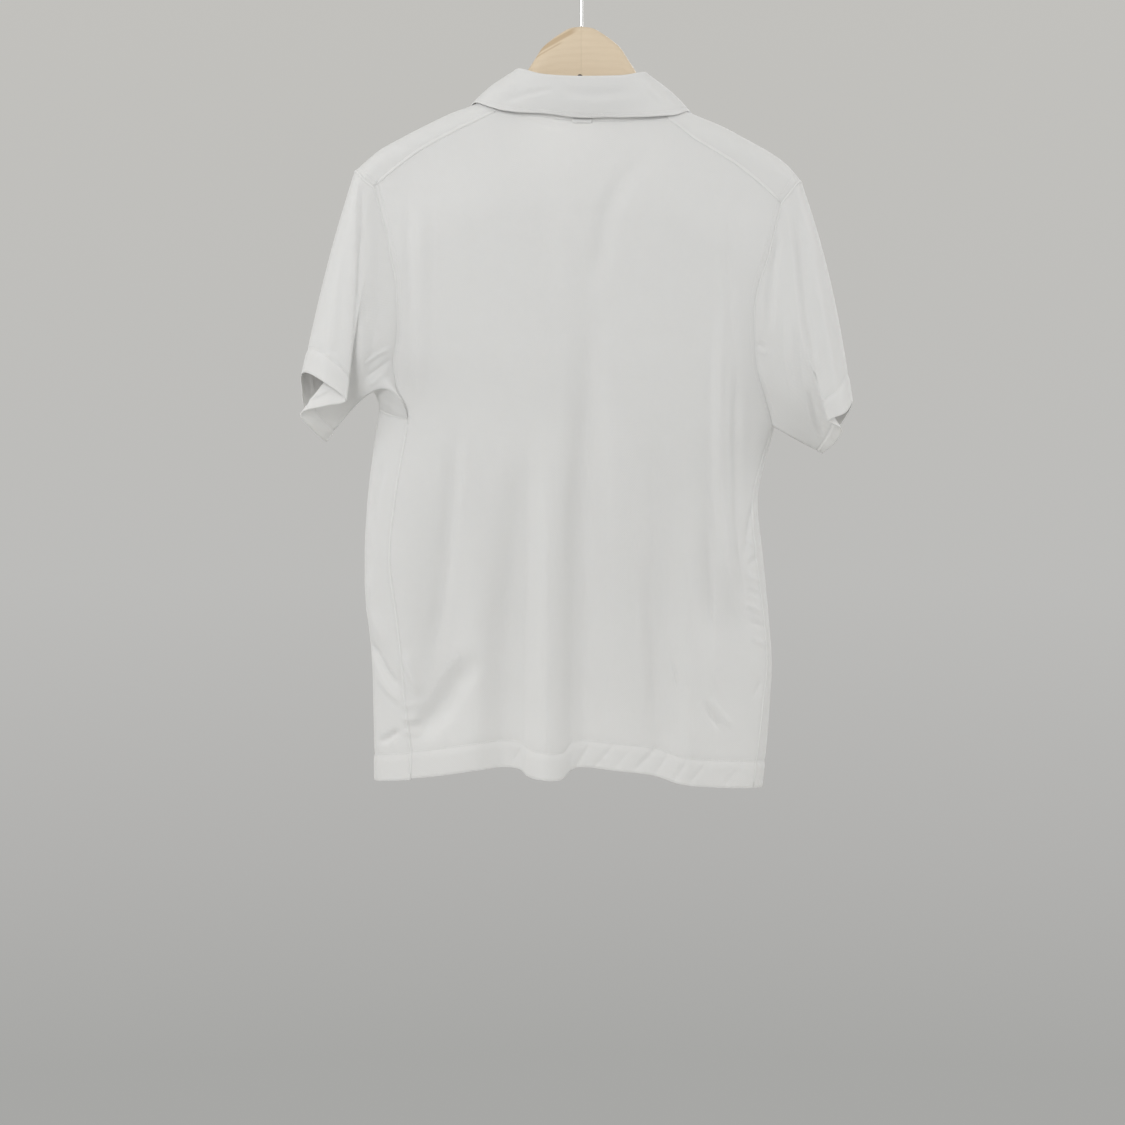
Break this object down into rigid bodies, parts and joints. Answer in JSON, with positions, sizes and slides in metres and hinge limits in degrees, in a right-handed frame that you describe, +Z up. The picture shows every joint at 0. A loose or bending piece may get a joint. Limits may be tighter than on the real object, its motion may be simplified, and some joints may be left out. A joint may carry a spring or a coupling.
{
  "type": "polo shirt on a wooden hanger",
  "caption": "Short-sleeved white polo shirt with a turned-down collar, hanging open and empty on a shaped pale wooden hanger with a wire hook.",
  "frame": {"origin": "inside of the hook's crown, where a rail carries the hanger", "axes": "+Z up, the back of the shirt faces -Y and its front faces +Y, +X towards the right-hand sleeve seen from behind"},
  "size_m": [0.587, 0.1363, 0.887],
  "materials": {
    "cloth": "matt",
    "wood": "satin",
    "wire": "polished",
    "button": "gloss"
  },
  "bodies": {
    "root": {"back": "cloth", "front": "cloth", "sleeve_left": "cloth", "sleeve_right": "cloth", "collar_stand": "cloth", "collar_fall": "cloth", "placket": "cloth", "neck_tab": "cloth", "button_1": "button", "button_2": "button", "button_3": "button", "hanger_left": "wood", "hanger_right": "wood", "hook": "wire"}
  },
  "joints": []
}
